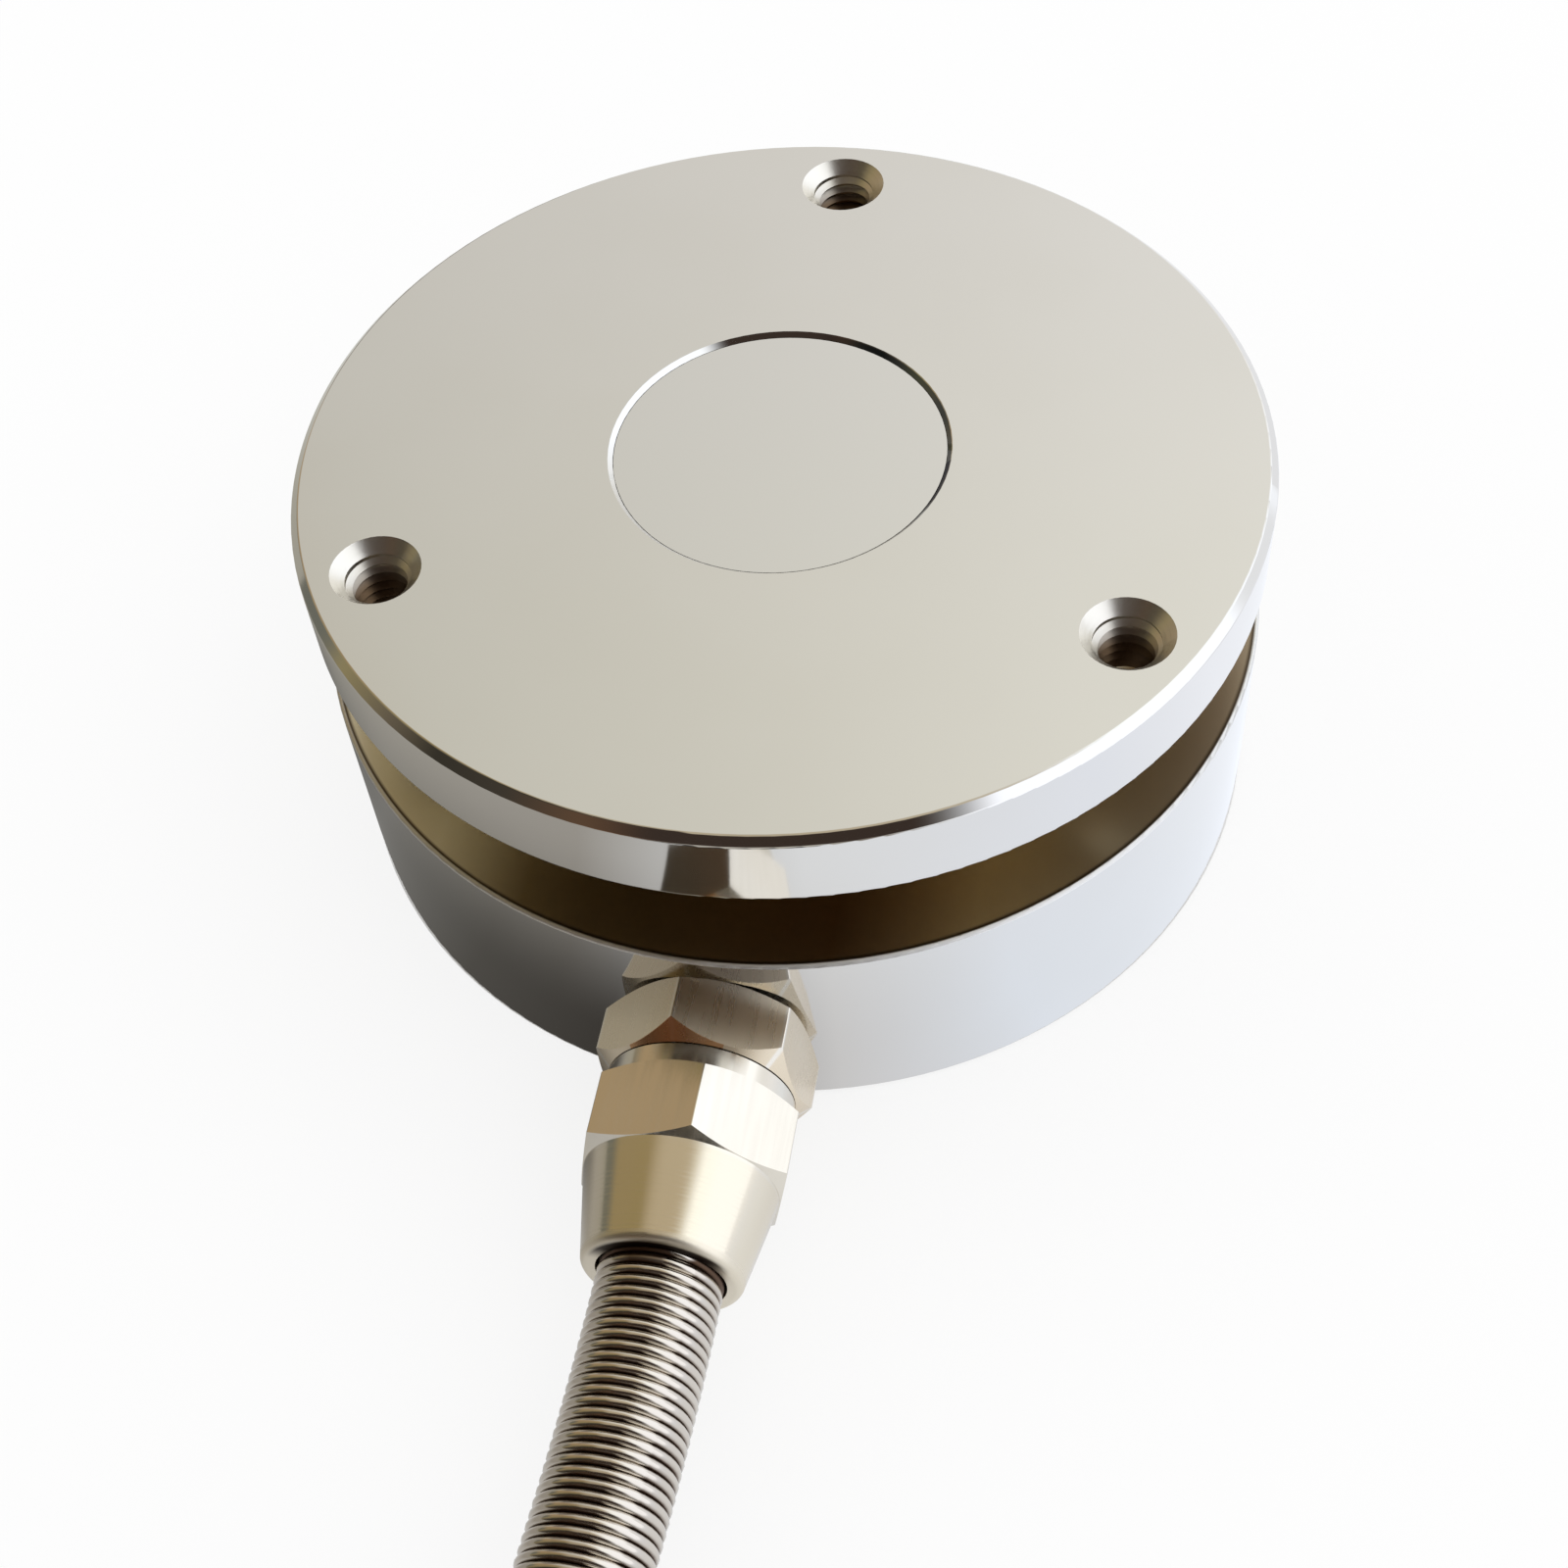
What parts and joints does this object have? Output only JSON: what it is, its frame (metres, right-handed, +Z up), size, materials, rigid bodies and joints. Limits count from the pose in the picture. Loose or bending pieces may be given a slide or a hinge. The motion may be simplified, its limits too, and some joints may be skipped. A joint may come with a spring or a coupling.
{
  "type": "miniature tension and compression load cell",
  "caption": "Low round load cell of polished nickel-plated steel: a grooved spool with tapped mounting holes, a cable gland with a spring guard, and a coiled cable with bare leads.",
  "frame": {"origin": "centre of the base's mounting face, where the cell stands", "axes": "+Z up along the load axis, -Y along the cable gland"},
  "size_m": [0.0724, 0.1838, 0.0263],
  "materials": {
    "plated_steel": "polished nickel plating on steel",
    "plated_brass": "polished nickel plating on brass",
    "spring_steel": "nickel-plated drawn wire",
    "cover_steel": "turned stainless steel",
    "screw_steel": "stainless steel",
    "gauge_film": "amber film",
    "copper_wire": "enamelled copper",
    "board_laminate": "lacquered laminate",
    "resistor_body": "moulded",
    "washer_brass": "plain brass",
    "seal_rubber": "moulded rubber",
    "cable_jacket": "satin extruded jacket",
    "tie_nylon": "moulded nylon",
    "core_red": "extruded insulation",
    "core_black": "extruded insulation",
    "core_green": "extruded insulation",
    "core_white": "extruded insulation"
  },
  "bodies": {
    "root": {"elastic_body": "plated_steel", "top_cover_disc": "plated_steel", "bottom_cover": "cover_steel", "cover_screw_1": "screw_steel", "cover_screw_2": "screw_steel", "cover_screw_3": "screw_steel", "cover_screw_4": "screw_steel", "strain_gauge_1": "gauge_film", "strain_gauge_2": "gauge_film", "strain_gauge_3": "gauge_film", "strain_gauge_4": "gauge_film", "gauge_leads": "copper_wire", "terminal_board": "board_laminate", "trim_resistor_1": "resistor_body", "trim_resistor_2": "resistor_body", "inner_core_1": "core_red", "inner_core_2": "core_black", "inner_core_3": "core_green", "inner_core_4": "core_white", "gland_body": "plated_brass", "gland_nut": "plated_brass", "gland_seal": "seal_rubber", "gland_washer": "washer_brass", "strain_relief_spring": "spring_steel", "cable": "cable_jacket", "cable_coil": "cable_jacket", "coil_tie": "tie_nylon", "core_lead_1": "core_red", "core_lead_2": "core_black", "core_lead_3": "core_green", "core_lead_4": "core_white"}
  },
  "joints": []
}
